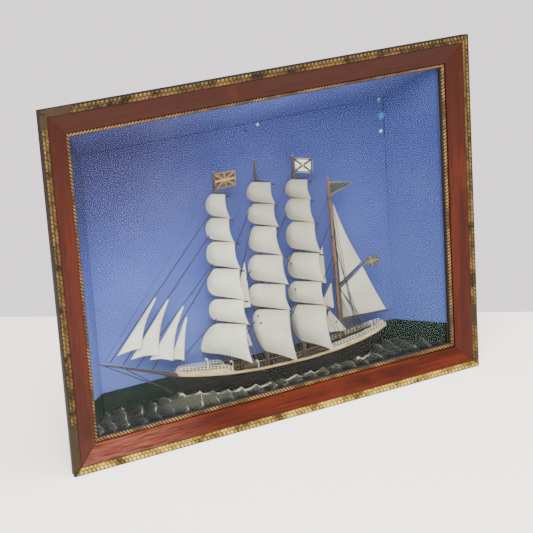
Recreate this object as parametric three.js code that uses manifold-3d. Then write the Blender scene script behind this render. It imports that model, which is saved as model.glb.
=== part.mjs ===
// A four-masted barque in a glazed, splayed shadow box with a mahogany and gilt frame.
// Millimetres, +Z up, X to the right as seen from the front, +Y towards the back.
// Everything is laid out with y = 0 on the frame's front and z = 0 on the shelf,
// and the whole group is then moved so that its bounding box is centred on Y.
import * as THREE from 'three';
import { mergeVertices } from 'three/addons/utils/BufferGeometryUtils.js';
import Module from 'manifold-3d';

const wasm = await Module();
wasm.setup();

// ---- driving dimensions -------------------------------------------------------------
const WIDTH = 700;
const HEIGHT = 527;
const GAP = 0.3;                 // clearance between pieces that touch
const MOULDING = 45.7;           // outer edge to sight edge
const GILT_WIDTH = 11.5;
const SLIP_START = 39;
const GLASS_FRONT = 19.4;
const GLASS_THICK = 2.2;
const RAIL_BACK = 26;

const CASE_FRONT = RAIL_BACK + GAP;
const CASE_BACK = 97;            // face of the painted back panel
const MOUTH_INSET = 42;          // inside of the case at its mouth, in from the frame's edge
const BACK_INSET = 95.5;         // and at the back panel
const BOARD = 6;
const PANEL = 5;

const SHIP_Y = 62;               // plane of the masts
const SEA_LEVEL = 41;
const HULL_BOTTOM = 38.3;
const BEAM = 29;
const BRACE = THREE.MathUtils.degToRad(46);   // how far the yards are braced round
const MAST_R = 3;
const YARD_R = 1.1;
const SAIL_THICK = 0.8;

const HANGER_X = 190;
const HANGER_Z = 400;
const BARREL_R = 2.6;
const RING_WIRE_R = 1.3;
const PANEL_REAR = CASE_BACK + GAP + PANEL;
const PIVOT_Y = PANEL_REAR + GAP + BARREL_R;
const DEPTH = PIVOT_Y + BARREL_R;

// ---- materials ----------------------------------------------------------------------
function paint(colour, roughness, metalness = 0) {
  return new THREE.MeshStandardMaterial({ color: colour, roughness, metalness });
}
const mahogany = paint('#7a3420', 0.38);
const gilding = paint('#9c7a3c', 0.42, 0.7);
const backdrop = paint('#7482b4', 0.8);
const carcass = paint('#8a6a48', 0.75);
const seaPaint = paint('#5d6a62', 0.55);
const hullPaint = paint('#2e2b28', 0.5);
const cream = paint('#d8cfae', 0.55);
const houseTimber = paint('#8d7a58', 0.6);
const spar = paint('#7c4a26', 0.5);
const canvas = paint('#cfcbc0', 0.75);
const tarredLine = paint('#2b2f45', 0.8);
const iron = paint('#6d675c', 0.45, 0.8);
const glass = new THREE.MeshStandardMaterial({
  color: '#dfe8ea', roughness: 0.05, metalness: 0, transparent: true, opacity: 0.25,
});

const model = new THREE.Group();

function add(name, geometry, material) {
  const mesh = new THREE.Mesh(geometry, material);
  mesh.name = name;
  model.add(mesh);
  return mesh;
}

// ---- geometry helpers ---------------------------------------------------------------
function toManifold(geometry) {
  const bare = geometry.clone();
  bare.deleteAttribute('normal');
  bare.deleteAttribute('uv');
  const merged = mergeVertices(bare, 1e-4);
  return new wasm.Manifold(new wasm.Mesh({
    numProp: 3,
    vertProperties: new Float32Array(merged.attributes.position.array),
    triVerts: new Uint32Array(merged.index.array),
  }));
}

function toGeometry(manifold) {
  const mesh = manifold.getMesh();
  const geometry = new THREE.BufferGeometry();
  geometry.setAttribute('position', new THREE.BufferAttribute(mesh.vertProperties, 3));
  geometry.setIndex(new THREE.BufferAttribute(mesh.triVerts, 1));
  geometry.computeVertexNormals();
  return geometry;
}

function union(geometries) {
  return toGeometry(geometries.map(toManifold).reduce((sum, piece) => sum.add(piece)));
}

function subtract(geometry, cutter) {
  return toGeometry(toManifold(geometry).subtract(toManifold(cutter)));
}

// Builds a closed surface from points and triangles, turned outwards if need be.
function closedSurface(points, triangles) {
  const origin = points[0];
  let volume = 0;
  for (const [a, b, c] of triangles) {
    const [p, q, r] = [a, b, c].map((i) => points[i].clone().sub(origin));
    volume += p.dot(q.cross(r));
  }
  const index = triangles.flatMap(([a, b, c]) => (volume < 0 ? [a, c, b] : [a, b, c]));
  const geometry = new THREE.BufferGeometry().setFromPoints(points);
  geometry.setIndex(index);
  geometry.computeVertexNormals();
  return geometry;
}

// Joins rings of equal length. An open loft is capped with the ring's own triangles.
function loft(rings, capOutline = null, loop = false) {
  const count = rings[0].length;
  const points = rings.flat();
  const triangles = [];
  const last = loop ? rings.length : rings.length - 1;
  for (let i = 0; i < last; i++) {
    const here = i * count;
    const next = ((i + 1) % rings.length) * count;
    for (let j = 0; j < count; j++) {
      const k = (j + 1) % count;
      triangles.push([here + j, next + j, next + k], [here + j, next + k, here + k]);
    }
  }
  if (!loop) {
    const end = (rings.length - 1) * count;
    const cap = capOutline
      ? THREE.ShapeUtils.triangulateShape(capOutline, [])
      : Array.from({ length: count - 2 }, (_, j) => [0, j + 1, j + 2]);
    const forward = capOutline && THREE.ShapeUtils.area(capOutline) < 0;
    for (const [a, b, c] of cap) {
      const start = forward ? [a, c, b] : [a, b, c];
      triangles.push(start, [end + start[0], end + start[2], end + start[1]]);
    }
  }
  return closedSurface(points, triangles);
}

// A thin stiff sheet: a grid of points thickened along the grid's own normals.
function sheet(rows, columns, surface) {
  const at = (i, j) => surface(i / rows, j / columns);
  const points = [];
  const step = 0.02;
  for (const side of [0.5, -0.5]) {
    for (let i = 0; i <= rows; i++) {
      for (let j = 0; j <= columns; j++) {
        const t = THREE.MathUtils.clamp(i / rows, step, 1 - step);
        const s = THREE.MathUtils.clamp(j / columns, step, 1 - step);
        const down = surface(t + step, s).sub(surface(t - step, s));
        const across = surface(t, s + step).sub(surface(t, s - step));
        const normal = down.cross(across).normalize();
        points.push(at(i, j).addScaledVector(normal, side * SAIL_THICK));
      }
    }
  }
  const half = (rows + 1) * (columns + 1);
  const id = (i, j, back) => i * (columns + 1) + j + (back ? half : 0);
  const triangles = [];
  for (let i = 0; i < rows; i++) {
    for (let j = 0; j < columns; j++) {
      const [a, b, c, d] = [id(i, j), id(i + 1, j), id(i + 1, j + 1), id(i, j + 1)];
      triangles.push([a, b, c], [a, c, d]);
      triangles.push([a + half, c + half, b + half], [a + half, d + half, c + half]);
    }
  }
  const rim = [];
  for (let j = 0; j < columns; j++) rim.push([0, j]);
  for (let i = 0; i < rows; i++) rim.push([i, columns]);
  for (let j = columns; j > 0; j--) rim.push([rows, j]);
  for (let i = rows; i > 0; i--) rim.push([i, 0]);
  rim.forEach(([i, j], n) => {
    const [k, l] = rim[(n + 1) % rim.length];
    triangles.push([id(i, j), id(k, l), id(k, l, true)], [id(i, j), id(k, l, true), id(i, j, true)]);
  });
  return closedSurface(points, triangles);
}

// A tapered round bar between two points.
function bar(from, to, startRadius, endRadius, sides = 8) {
  const span = to.clone().sub(from);
  const geometry = new THREE.CylinderGeometry(endRadius, startRadius, span.length(), sides);
  geometry.applyQuaternion(
    new THREE.Quaternion().setFromUnitVectors(new THREE.Vector3(0, 1, 0), span.clone().normalize()),
  );
  const middle = from.clone().add(to).multiplyScalar(0.5);
  geometry.translate(middle.x, middle.y, middle.z);
  return geometry;
}

const vec = (x, y, z) => new THREE.Vector3(x, y, z);
const { lerp } = THREE.MathUtils;

// ---- frame: four mitred rails, four gilt edges, one gilt slip, one pane -----------------
// Profiles are [distance in from the outer edge, depth behind the front].
const RAIL_PROFILE = [
  [1.2, 8.3], [GILT_WIDTH + GAP, 8.3], [GILT_WIDTH + GAP, 3.0], [SLIP_START - GAP, 9.5],
  [SLIP_START - GAP, RAIL_BACK], [8, RAIL_BACK], [1.2, 15],
];
const GILT_PROFILE = [
  [0, 8], [0, 2.2], [1.2, 0.6], [3.2, 0], [5.4, 0.7], [6.4, 2.0], [9, 1.4],
  [GILT_WIDTH, 3.2], [GILT_WIDTH, 8],
];
const SLIP_PROFILE = [
  [SLIP_START, 10.3], [MOULDING, 14.2], [MOULDING, GLASS_FRONT - GAP], [SLIP_START, GLASS_FRONT - GAP],
];

const asOutline = (profile) => profile.map(([u, y]) => new THREE.Vector2(u, y));

function mitredLength(length, profile) {
  const mitreGap = GAP / 2;
  const ring = (end) => profile.map(([u, y]) => vec(end * (length / 2 - u - mitreGap), y, u));
  return loft([ring(-1), ring(1)], asOutline(profile));
}

const SIDES = [
  { side: 'bottom', length: WIDTH, turn: 0, at: [0, 0, 0] },
  { side: 'top', length: WIDTH, turn: Math.PI, at: [0, 0, HEIGHT] },
  { side: 'left', length: HEIGHT, turn: Math.PI / 2, at: [-WIDTH / 2, 0, HEIGHT / 2] },
  { side: 'right', length: HEIGHT, turn: -Math.PI / 2, at: [WIDTH / 2, 0, HEIGHT / 2] },
];
for (const { side, length, turn, at } of SIDES) {
  for (const [name, profile, material] of [
    [`frame_rail_${side}`, RAIL_PROFILE, mahogany],
    [`gilt_edge_${side}`, GILT_PROFILE, gilding],
  ]) {
    const rail = add(name, mitredLength(length, profile), material);
    rail.rotation.y = turn;
    rail.position.set(...at);
  }
}

const slipCorners = [[-1, 0], [1, 0], [1, 1], [-1, 1]];
const slipRings = slipCorners.map(([sx, top]) => SLIP_PROFILE.map(
  ([u, y]) => vec(sx * (WIDTH / 2 - u), y, top ? HEIGHT - u : u),
));
add('gilt_slip', loft(slipRings, null, true), gilding);

const paneInset = SLIP_START + GAP;
const pane = new THREE.BoxGeometry(WIDTH - 2 * paneInset, GLASS_THICK, HEIGHT - 2 * paneInset);
pane.translate(0, GLASS_FRONT + GLASS_THICK / 2, HEIGHT / 2);
add('glass_pane', pane, glass);

// ---- case: boards that splay inwards to a smaller back panel ------------------------------
const insetAt = (y) => lerp(MOUTH_INSET, BACK_INSET, (y - CASE_FRONT) / (CASE_BACK - CASE_FRONT));
const halfWidthAt = (y) => WIDTH / 2 - insetAt(y);
const ceilingAt = (y) => HEIGHT - insetAt(y);

// Each board is cut to a mitre where it meets the next one.
function splayedBoard(corners) {
  const rings = [CASE_FRONT, CASE_BACK].map((y) => corners(halfWidthAt(y), ceilingAt(y))
    .map(([x, z]) => vec(x, y, z)));
  return loft(rings);
}
const mitre = GAP / 2;
for (const [name, sign] of [['case_left_board', -1], ['case_right_board', 1]]) {
  add(name, splayedBoard((half, top) => [
    [sign * half, BOARD + GAP], [sign * (half + BOARD), BOARD + GAP],
    [sign * (half + BOARD), top + BOARD - mitre], [sign * half, top - mitre],
  ]), backdrop);
}
add('case_top_board', splayedBoard((half, top) => [
  [-half + mitre, top], [half - mitre, top],
  [half + BOARD - mitre, top + BOARD], [-half - BOARD + mitre, top + BOARD],
]), backdrop);
add('case_bottom_board', splayedBoard((half) => [
  [-half - BOARD, 0], [half + BOARD, 0], [half + BOARD, BOARD], [-half - BOARD, BOARD],
]), carcass);

const panelHalf = WIDTH / 2 - BACK_INSET + BOARD;
const panelTop = HEIGHT - BACK_INSET + BOARD;
const panel = new THREE.BoxGeometry(2 * panelHalf, PANEL, panelTop);
panel.translate(0, CASE_BACK + GAP + PANEL / 2, panelTop / 2);
add('case_back_panel', panel, backdrop);

// ---- hull: a waterline model, lofted from stem to counter --------------------------------
const STEM = { top: -153, water: -141 };
const STERN = { top: 216, water: 178 };
const SHEER_LOW = 66;            // lowest point of the deck line, a little abaft the middle
const SHEER_LOW_X = 60;
const hullStations = [0, 0.02, 0.06, 0.12, 0.22, 0.38, 0.6, 0.75, 0.86, 0.94, 1];

function sheer(x) {
  const fromLow = x - SHEER_LOW_X;
  const rise = fromLow < 0 ? 21.5 / 213 ** 2 : 17 / 156 ** 2;
  return SHEER_LOW + rise * fromLow * fromLow;
}
// Fullness of the deck and of the waterline along the length, 0 at the ends.
const deckBreadth = (s) => Math.min(1, Math.pow(s / 0.24, 0.6), 0.34 + Math.pow((1 - s) / 0.35, 0.6));
const waterBreadth = (s) => Math.min(1, Math.pow(s / 0.38, 0.8), Math.pow((1 - s) / 0.36, 0.8));

function hullSection(s, grow) {
  const foot = lerp(STEM.water - grow, STERN.water + grow, s);
  const head = lerp(STEM.top - grow, STERN.top + grow, s);
  const low = 0.5 + (BEAM / 2 - 2.5) * waterBreadth(s) + grow;
  const high = 0.6 + (BEAM / 2 - 0.6) * deckBreadth(s) + grow;
  const mid = lerp(low, high, 0.8);
  const midX = lerp(foot, head, 0.45);
  const deck = sheer(head) + grow;
  const floor = HULL_BOTTOM - grow;
  const middle = lerp(floor, deck, 0.5);
  return [
    vec(foot, SHIP_Y - low, floor), vec(midX, SHIP_Y - mid, middle), vec(head, SHIP_Y - high, deck),
    vec(head, SHIP_Y + high, deck), vec(midX, SHIP_Y + mid, middle), vec(foot, SHIP_Y + low, floor),
  ];
}
// Height of the deck, which runs straight from one station to the next.
function deckAt(x) {
  const xs = hullStations.map((s) => lerp(STEM.top, STERN.top, s));
  const aft = Math.max(1, xs.findIndex((value) => value >= x));
  const along = (x - xs[aft - 1]) / (xs[aft] - xs[aft - 1]);
  return lerp(sheer(xs[aft - 1]), sheer(xs[aft]), along);
}

const hullShape = (grow) => loft(hullStations.map((s) => hullSection(s, grow)));

// The knee of the head: a thin curved bracket that runs out under the bowsprit.
const KNEE_THICK = 2;
const kneeSide = new THREE.Shape();
kneeSide.moveTo(STEM.top + 8, 84);
kneeSide.lineTo(-176, 93.2);
kneeSide.quadraticCurveTo(-158, 88, STEM.top - 0.5, 76);
kneeSide.quadraticCurveTo(STEM.water - 6, 66, STEM.water + 1, 56);
kneeSide.lineTo(STEM.water + 8, 62);
const knee = new THREE.ExtrudeGeometry(kneeSide, { depth: KNEE_THICK, bevelEnabled: false, curveSegments: 6 })
  .rotateX(Math.PI / 2).translate(0, SHIP_Y + KNEE_THICK / 2, 0);

const BOWSPRIT = {
  heel: vec(-150, SHIP_Y, 88), heelRadius: 3.2,
  tip: vec(-271.5, SHIP_Y, 133), tipRadius: 0.9,
};
const bowspritRoom = bar(
  BOWSPRIT.heel.clone().add(vec(2, 0, -0.74)), BOWSPRIT.tip,
  BOWSPRIT.heelRadius + 0.6, BOWSPRIT.tipRadius + 0.8, 12,
);
add('ship_hull', subtract(union([hullShape(0), knee]), bowspritRoom), hullPaint);
add('bowsprit', bar(BOWSPRIT.heel, BOWSPRIT.tip, BOWSPRIT.heelRadius, BOWSPRIT.tipRadius, 10), spar);

// Bulwark: a low wall standing on the deck edge all the way round, higher at the two ends.
const BULWARK_WAIST = 2;
const FORECASTLE = { end: -62, high: 6.5, breakHigh: 9.5 };
const POOP = { start: 104, high: 5.5 };
const BREAK_LENGTH = 9;
function bulwarkHigh(x) {
  const ahead = THREE.MathUtils.smoothstep(FORECASTLE.end - x, 0, BREAK_LENGTH);
  const toStem = (FORECASTLE.end - x) / (FORECASTLE.end - STEM.top);
  const forward = lerp(FORECASTLE.breakHigh, FORECASTLE.high, toStem);
  const abaft = THREE.MathUtils.smoothstep(x - POOP.start, 0, BREAK_LENGTH);
  return BULWARK_WAIST + ahead * (forward - BULWARK_WAIST) + abaft * (POOP.high - BULWARK_WAIST);
}
const BULWARK_THICK = 1;
function bulwarkRing(s, side) {
  const x = lerp(STEM.top + 1, STERN.top - 1, s);
  const edge = 0.6 + (BEAM / 2 - 0.6) * deckBreadth(s);
  const inner = Math.max(edge - BULWARK_THICK, 0.25);
  const base = deckAt(x) + GAP;
  const inboard = x + (s === 0 ? BULWARK_THICK : s === 1 ? -BULWARK_THICK : 0);
  return [
    vec(x, SHIP_Y + side * edge, base), vec(inboard, SHIP_Y + side * inner, base),
    vec(inboard, SHIP_Y + side * inner, base + bulwarkHigh(x)),
    vec(x, SHIP_Y + side * edge, base + bulwarkHigh(x)),
  ];
}
const bulwarkStations = [0, 0.02, 0.06, 0.12, 0.22, 0.236, 0.262, 0.38, 0.6, 0.695, 0.725, 0.75, 0.86, 0.94, 1];
const bulwarkRings = [
  ...bulwarkStations.map((s) => bulwarkRing(s, -1)),
  ...[...bulwarkStations].reverse().map((s) => bulwarkRing(s, 1)),
];
add('ship_bulwark', subtract(loft(bulwarkRings, null, true), bowspritRoom), cream);

const HOUSE = { x: -28, long: 24, wide: 13, high: 8 };
const houseFloor = deckAt(HOUSE.x - HOUSE.long / 2) + GAP;
const deckHouse = new THREE.BoxGeometry(HOUSE.long, HOUSE.wide, HOUSE.high);
deckHouse.translate(HOUSE.x, SHIP_Y, houseFloor + HOUSE.high / 2);
add('deck_house', deckHouse, houseTimber);

// ---- sea: a modelled swell that fills the case's floor, bedded round the hull --------------
const SEA_COLUMNS = 36;
const SEA_ROWS = 6;
const seaFront = CASE_FRONT + GAP;
const seaBack = CASE_BACK - GAP;

function swell(x, y) {
  const bowWave = 9 * Math.exp(-(((x + 118) / 32) ** 2) - ((y - SHIP_Y) / 26) ** 2);
  return SEA_LEVEL + 2.2 * Math.sin(x / 8.5 + y / 9) + 1.1 * Math.sin(x / 23 - y / 6) + bowWave;
}
const seaRings = [];
for (let i = 0; i <= SEA_ROWS; i++) {
  const y = lerp(seaFront, seaBack, i / SEA_ROWS);
  const half = halfWidthAt(y) - GAP;
  const ring = [];
  for (let j = 0; j <= SEA_COLUMNS; j++) {
    const x = lerp(-half, half, j / SEA_COLUMNS);
    ring.push(vec(x, y, swell(x, y)));
  }
  for (const x of [half, -half]) ring.push(vec(x, y, BOARD + GAP));
  seaRings.push(ring);
}
const seaOutline = seaRings[0].map((p) => new THREE.Vector2(p.x, p.z));
function seaBlock() {
  const count = seaRings[0].length;
  const triangulated = THREE.ShapeUtils.triangulateShape(seaOutline, []);
  const points = seaRings.flat();
  const triangles = [];
  for (let i = 0; i < SEA_ROWS; i++) {
    for (let j = 0; j < count; j++) {
      const k = (j + 1) % count;
      const [a, b] = [i * count, (i + 1) * count];
      triangles.push([a + j, b + j, b + k], [a + j, b + k, a + k]);
    }
  }
  const end = SEA_ROWS * count;
  const turned = THREE.ShapeUtils.area(seaOutline) < 0;
  const backOutline = seaRings[SEA_ROWS].map((p) => new THREE.Vector2(p.x, p.z));
  for (const [a, b, c] of triangulated) triangles.push(turned ? [a, c, b] : [a, b, c]);
  for (const [a, b, c] of THREE.ShapeUtils.triangulateShape(backOutline, [])) {
    triangles.push(turned ? [end + a, end + b, end + c] : [end + a, end + c, end + b]);
  }
  return closedSurface(points, triangles);
}
add('sea_base', subtract(seaBlock(), hullShape(0.4)), seaPaint);

// ---- masts, each with the yards it carries -----------------------------------------------
const yardAlong = vec(Math.cos(BRACE), -Math.sin(BRACE), 0);      // towards the near yardarm
const yardAhead = vec(-Math.sin(BRACE), -Math.cos(BRACE), 0);     // the way the sails belly
const YARD_AHEAD = MAST_R + YARD_R - 0.9;
const YARD_OVERHANG = 4;

// For each square-rigged mast, from the royal down to the course: the height of the head
// and of the near clew, and the sail's reach at the head to the near and far side.
const SQUARE_MASTS = [
  {
    name: 'fore', foot: -62.7, top: -64.8, truck: 379,
    heads: [345, 309, 273, 232, 185, 147], clews: [312, 276, 236, 188, 151, 90],
    near: [17, 20, 26, 30, 33, 34], far: [9, 12, 14, 16, 17, 22], farSpread: 18,
  },
  {
    name: 'main', foot: 4.5, top: 4, truck: 385,
    heads: [350, 317, 283, 239, 194, 154], clews: [321, 287, 243, 198, 158, 78],
    near: [24, 27, 28, 35, 36, 40], far: [9, 10, 11, 14, 17, 17], farSpread: -9,
  },
  {
    name: 'mizzen', foot: 69.9, top: 68.2, truck: 380,
    heads: [342, 313, 277, 229, 184, 147], clews: [316, 280, 234, 188, 151, 80],
    near: [22, 24, 29, 33, 34, 39], far: [8, 10, 11, 12, 14, 15], farSpread: -5,
  },
];
const SAIL_NAMES = [
  'royal', 'upper_topgallant', 'lower_topgallant', 'upper_topsail', 'lower_topsail', 'course',
];

const mastX = (mast, z) => lerp(mast.foot, mast.top, (z - 72) / (mast.truck - 72));

const SHOULDER = 34;             // length of the thin pole above the last hounds
function mastRadius(mast, z) {
  const shoulder = mast.truck - SHOULDER;
  return z < shoulder
    ? MAST_R * lerp(1, 0.85, (z - 70) / (shoulder - 70))
    : MAST_R * lerp(0.85, 0.55, (z - shoulder) / SHOULDER);
}

function mastPole(mast) {
  const heel = Math.max(deckAt(mast.foot - MAST_R), deckAt(mast.foot + MAST_R)) + GAP;
  const shoulder = mast.truck - SHOULDER;
  const axis = (z) => vec(mastX(mast, z), SHIP_Y, z);
  return union([
    bar(axis(heel), axis(shoulder), MAST_R, MAST_R * 0.85, 12),
    bar(axis(shoulder - 0.5), axis(mast.truck), MAST_R * 0.85, MAST_R * 0.55, 12),
  ]);
}

// A yard: thickest at its sling, tapering to both arms, lying along the braced direction.
const FAR_HIDDEN = 4;             // a yard's far end stops short, behind the sail's round corner
function yard(nearReach, farReach) {
  const profile = [
    [0, -farReach], [YARD_R * 0.7, -farReach], [YARD_R, 0], [YARD_R * 0.7, nearReach], [0, nearReach],
  ];
  const geometry = new THREE.LatheGeometry(profile.map(([r, y]) => new THREE.Vector2(r, y)), 7);
  return geometry.applyQuaternion(new THREE.Quaternion().setFromUnitVectors(vec(0, 1, 0), yardAlong));
}

for (const mast of SQUARE_MASTS) {
  const pieces = [mastPole(mast)];
  mast.heads.forEach((head, level) => {
    const centre = vec(mastX(mast, head), SHIP_Y, head).addScaledVector(yardAhead, YARD_AHEAD);
    pieces.push(yard(mast.near[level] + YARD_OVERHANG, mast.far[level] - FAR_HIDDEN)
      .translate(centre.x, centre.y, centre.z));
  });
  add(`${mast.name}_mast`, union(pieces), spar);
}

const JIGGER = { name: 'jigger', foot: 136.8, top: 127, truck: 335 };
add('jigger_mast', mastPole(JIGGER), spar);

// ---- square sails: carved thin and hollow, hung just ahead of their yards ------------------
const HEAD_RISE = 2.6;            // the sail's head stands a little above its yard
const HEAD_AHEAD = YARD_AHEAD + YARD_R + GAP + SAIL_THICK / 2 + 0.4;

function squareSail(mast, level) {
  const head = mast.heads[level];
  const drop = head - mast.clews[level];
  const course = level === 5;
  const belly = 3.5 + drop * (course ? 0.16 : 0.2);
  const spread = 1 + drop / (course ? 10 : 7);
  const farSpread = course ? mast.farSpread : 0.3 * spread;
  const round = 0.07 * drop;                        // how much the far corners are cut round
  return (t, across) => {
    const s = 2 * across - 1;                       // -1 at the far leech, 1 at the near one
    const hollow = Math.sin(Math.PI * t);
    const reach = s > 0
      ? mast.near[level] + spread * t - 1.8 * hollow
      : mast.far[level] - 3.5 + farSpread * t + 5.5 * Math.sqrt(hollow);
    const corner = Math.max(0, -s) ** 4;
    const arch = (course ? 6 : 0.05 * drop) * (1 - s * s) * t * t;
    const farFoot = (course ? 0.2 : 0.12) * drop * (0.5 - 0.5 * s) * t + round * corner * t;
    const farHead = round * corner * (1 - t);
    const z = head + HEAD_RISE - (drop + HEAD_RISE) * t + arch + farFoot - farHead;
    const fullness = Math.sin(Math.PI * Math.pow(t, 0.85)) * (1 - 0.7 * s * s);
    return vec(mastX(mast, head), SHIP_Y, z)
      .addScaledVector(yardAlong, s * reach)
      .addScaledVector(yardAhead, HEAD_AHEAD + belly * fullness + 1.4 * t);
  };
}
for (const mast of SQUARE_MASTS) {
  SAIL_NAMES.forEach((sail, level) => {
    add(`${mast.name}_${sail}`, sheet(9, 9, squareSail(mast, level)), canvas);
  });
}

// ---- fore-and-aft sails, gaff and boom ------------------------------------------------------
// A three- or four-cornered sail: corners are [x, z], and the after edge sets a little to port.
function foreAndAft({ peak, throat, tack, clew, set, belly, hollow, arch }) {
  return (t, s) => {
    const fore = [lerp(throat[0], tack[0], t), lerp(throat[1], tack[1], t)];
    const aft = [lerp(peak[0], clew[0], t) - hollow * Math.sin(Math.PI * t), lerp(peak[1], clew[1], t)];
    const bulge = belly * Math.sin(Math.PI * s) * Math.sin(Math.PI * (0.12 + 0.8 * t));
    const lift = arch * Math.sin(Math.PI * s) * t * t;
    return vec(lerp(fore[0], aft[0], s), SHIP_Y - set * s * t - bulge, lerp(fore[1], aft[1], s) + lift);
  };
}
const JIBS = [
  { name: 'flying_jib', head: [-174, 213], tack: [-242, 139], clew: [-206, 145], hollow: 6, arch: 2 },
  { name: 'outer_jib', head: [-154.5, 206], tack: [-221, 128.5], clew: [-179, 128], hollow: 6, arch: 3 },
  { name: 'inner_jib', head: [-131, 191], tack: [-191, 121], clew: [-157, 114], hollow: 5, arch: 3 },
  {
    name: 'fore_topmast_staysail', head: [-127, 173], tack: [-157, 114], clew: [-139, 110],
    hollow: 1.5, arch: 2,
  },
];
for (const { name, head, ...shape } of JIBS) {
  const peak = [head[0] + 1.2, head[1] - 1.5];
  const surface = foreAndAft({ peak, throat: head, set: 7, belly: 4.5, ...shape });
  add(name, sheet(9, 5, surface), canvas);
}

add('spanker_sail', sheet(6, 5, foreAndAft({
  throat: [140, 159], peak: [180.5, 185.5], tack: [141, 112.5], clew: [219, 108.5],
  set: 0, belly: 2.5, hollow: 1, arch: 0,
})), canvas);
add('gaff_topsail', sheet(6, 3, foreAndAft({
  throat: [133, 294], peak: [134, 293], tack: [139.6, 169], clew: [178, 193.5],
  set: 0, belly: 1.5, hollow: 3, arch: 0,
})), canvas);
add('spanker_gaff', bar(vec(137.8, SHIP_Y, 162), vec(186, SHIP_Y, 192.5), 1.5, 1), spar);
add('spanker_boom', bar(vec(139.4, SHIP_Y, 109.3), vec(229, SHIP_Y, 104.8), 1.8, 1.1), spar);

// ---- standing rigging: on each mast a seized collar with its stay and two backstays ----------
const LINE_R = 0.35;
const BACKSTAY_RUN = 30;
const RIGGED = [
  { mast: SQUARE_MASTS[0], collar: 358, stayTo: [-262, 134.5] },
  { mast: SQUARE_MASTS[1], collar: 363, stayTo: [-60.6, 262] },
  { mast: SQUARE_MASTS[2], collar: 357, stayTo: [7.8, 256] },
  { mast: JIGGER, collar: 304, stayTo: [72.6, 214] },
];
for (const { mast, collar, stayTo } of RIGGED) {
  const x = mastX(mast, collar);
  const inner = mastRadius(mast, collar - 1.2) + GAP;
  const outer = inner + 0.7;
  const ring = new THREE.LatheGeometry(
    [[inner, -1.2], [outer, -1.2], [outer, 1.2], [inner, 1.2], [inner, -1.2]]
      .map(([r, z]) => new THREE.Vector2(r, z)), 12,
  );
  ring.rotateX(Math.PI / 2).translate(x, SHIP_Y, collar);
  const wall = (inner + outer) / 2;
  const landing = x + BACKSTAY_RUN;
  const railTop = deckAt(landing) + GAP + Math.max(bulwarkHigh(landing - 2), bulwarkHigh(landing + 2)) + 0.8;
  const lines = [bar(vec(x - wall, SHIP_Y, collar), vec(stayTo[0], SHIP_Y, stayTo[1]), LINE_R, LINE_R, 5)];
  for (const side of [-1, 1]) {
    lines.push(bar(
      vec(x + wall * 0.7, SHIP_Y + side * wall * 0.7, collar),
      vec(landing, SHIP_Y + side * (BEAM / 2 - 1.5), railTop), LINE_R, LINE_R, 5,
    ));
  }
  add(`${mast.name}_rigging`, union([ring, ...lines]), tarredLine);
}

// ---- hangers: on the back, a plate with a rolled barrel, its D-ring and its screw -------------
const PLATE_WIDE = 12;
const PLATE_DROP = 14;           // barrel centre to the plate's lower edge
const PLATE_THICK = 1.2;
const RING_HALF = 11;            // to the middle of the wire
const RING_DROP = 23;

function dRing() {
  const straight = bar(vec(-RING_HALF, 0, 0), vec(RING_HALF, 0, 0), RING_WIRE_R, RING_WIRE_R, 16);
  const bow = new THREE.CatmullRomCurve3([
    vec(-RING_HALF, 0, 0), vec(-RING_HALF - 0.6, 0, -RING_DROP * 0.45),
    vec(-RING_HALF * 0.72, 0, -RING_DROP * 0.86),
    vec(0, 0, -RING_DROP), vec(RING_HALF * 0.72, 0, -RING_DROP * 0.86),
    vec(RING_HALF + 0.6, 0, -RING_DROP * 0.45), vec(RING_HALF, 0, 0),
  ]);
  const section = new THREE.Shape().absarc(0, 0, RING_WIRE_R, 0, 2 * Math.PI);
  const wire = new THREE.ExtrudeGeometry(section, { steps: 22, curveSegments: 5, extrudePath: bow });
  const knuckles = [-1, 1].map((side) => new THREE.SphereGeometry(RING_WIRE_R * 1.12, 10, 6)
    .translate(side * RING_HALF, 0, 0));
  return union([straight, wire, ...knuckles]);
}

function hangerPlate() {
  const plate = new THREE.BoxGeometry(PLATE_WIDE, PLATE_THICK, PLATE_DROP);
  plate.translate(0, -BARREL_R + PLATE_THICK / 2, -PLATE_DROP / 2);
  const barrel = new THREE.CylinderGeometry(BARREL_R, BARREL_R, PLATE_WIDE, 24).rotateZ(Math.PI / 2);
  const bore = new THREE.CylinderGeometry(RING_WIRE_R + 0.12, RING_WIRE_R + 0.12, PLATE_WIDE + 2, 24)
    .rotateZ(Math.PI / 2);
  const screwHole = new THREE.CylinderGeometry(1.9, 1.9, 6, 20).translate(0, -BARREL_R, 0);
  screwHole.translate(0, 0, -PLATE_DROP * 0.62);
  return subtract(subtract(union([plate, barrel]), bore), screwHole);
}

function hangerScrew() {
  const head = new THREE.LatheGeometry(
    [[0, -0.15], [1.6, -0.15], [1.6, 1.3], [3.3, 1.5], [3.0, 2.1], [1.6, 2.7], [0, 2.8]]
      .map(([r, y]) => new THREE.Vector2(r, y)), 20,
  );
  const slot = new THREE.BoxGeometry(0.8, 1.2, 8).translate(0, 2.9, 0);
  return subtract(head, slot);
}

for (const [side, sign] of [['left', -1], ['right', 1]]) {
  const hanger = new THREE.Group();
  hanger.position.set(sign * HANGER_X, PIVOT_Y, HANGER_Z);
  model.add(hanger);
  for (const [name, geometry] of [
    [`hanger_plate_${side}`, hangerPlate()],
    [`hanger_ring_${side}`, dRing()],
    [`hanger_screw_${side}`, hangerScrew().translate(0, -BARREL_R, -PLATE_DROP * 0.62)],
  ]) {
    const mesh = new THREE.Mesh(geometry, iron);
    mesh.name = name;
    hanger.add(mesh);
  }
}

model.position.y = -DEPTH / 2;

export default model;
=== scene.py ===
# A four-masted barque on a modelled sea, in a splayed and glazed shadow box with a mahogany and
# gilt frame. Metres, +Z up, the front faces -Y. Sections follow the order in which it is built.
import math

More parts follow.
